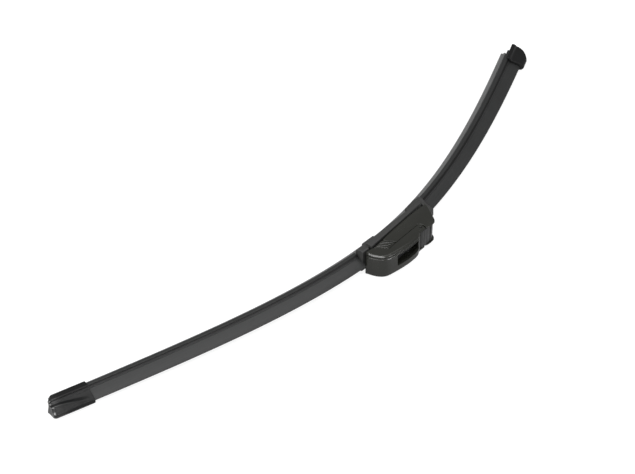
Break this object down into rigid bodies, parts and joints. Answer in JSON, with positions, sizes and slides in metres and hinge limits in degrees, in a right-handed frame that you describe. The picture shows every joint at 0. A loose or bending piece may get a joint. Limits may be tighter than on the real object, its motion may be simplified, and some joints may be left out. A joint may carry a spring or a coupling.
{
  "type": "windshield wiper blade",
  "caption": "Frameless wiper blade: a bowed rubber strip on spring-steel rails with a spoiler, end caps and a rocking hook-arm connector under a flip cover.",
  "frame": {"origin": "middle of the seat that the arm's hook rests on, straight outward from the pivot pin", "axes": "+X along the blade towards its far end, -Y outward from the glass, +Z across the blade along the pivot pin; the blade lies on its side"},
  "size_m": [0.5603, 0.1182, 0.022],
  "materials": {
    "rubber": "matt natural rubber with a fine graphite bloom",
    "spring_steel": "flat spring steel strip",
    "spoiler": "soft black thermoplastic rubber, satin",
    "cap_plastic": "fine-textured black plastic",
    "bracket_steel": "pressed steel, black coated",
    "housing_plastic": "black moulded plastic, satin",
    "collar_plastic": "black moulded plastic, satin",
    "pin_steel": "plain turned steel",
    "washer_nylon": "black nylon",
    "rocker_nylon": "black glass-filled nylon",
    "cover_plastic": "black moulded plastic, semi-gloss"
  },
  "bodies": {
    "blade": {"wiping_rubber": "rubber", "rail_upper": "spring_steel", "rail_lower": "spring_steel", "spoiler_near": "spoiler", "spoiler_far": "spoiler", "end_cap_near": "cap_plastic", "end_cap_far": "cap_plastic", "base_bracket": "bracket_steel", "base_skirt": "housing_plastic", "collar_near": "collar_plastic", "collar_far": "collar_plastic", "pivot_pin": "pin_steel", "pivot_washer_upper": "washer_nylon", "pivot_washer_lower": "washer_nylon"},
    "connector": {"rocker": "rocker_nylon", "side_panel_upper": "housing_plastic", "side_panel_lower": "housing_plastic", "cover_hinge_pin": "pin_steel"},
    "cover": {"flip_cover": "cover_plastic"},
    "tab_upper": {"release_tab_upper": "housing_plastic"},
    "tab_lower": {"release_tab_lower": "housing_plastic"}
  },
  "joints": [
    {"name": "connector_rock", "type": "hinge", "parent": "blade", "child": "connector", "pos_m": [0, 0.0045, 0], "axis": [0, 0, 1], "range_deg": [-2, 2]},
    {"name": "cover_flip", "type": "hinge", "parent": "connector", "child": "cover", "pos_m": [0.0095, -0.002, 0], "axis": [0, 0, 1], "range_deg": [0, 70]},
    {"name": "tab_upper_press", "type": "slide", "parent": "connector", "child": "tab_upper", "axis": [0, 0, -1], "range_m": [0, 0.0012], "stiffness_N_per_m": 600},
    {"name": "tab_lower_press", "type": "slide", "parent": "connector", "child": "tab_lower", "axis": [0, 0, 1], "range_m": [0, 0.0012], "stiffness_N_per_m": 600}
  ]
}
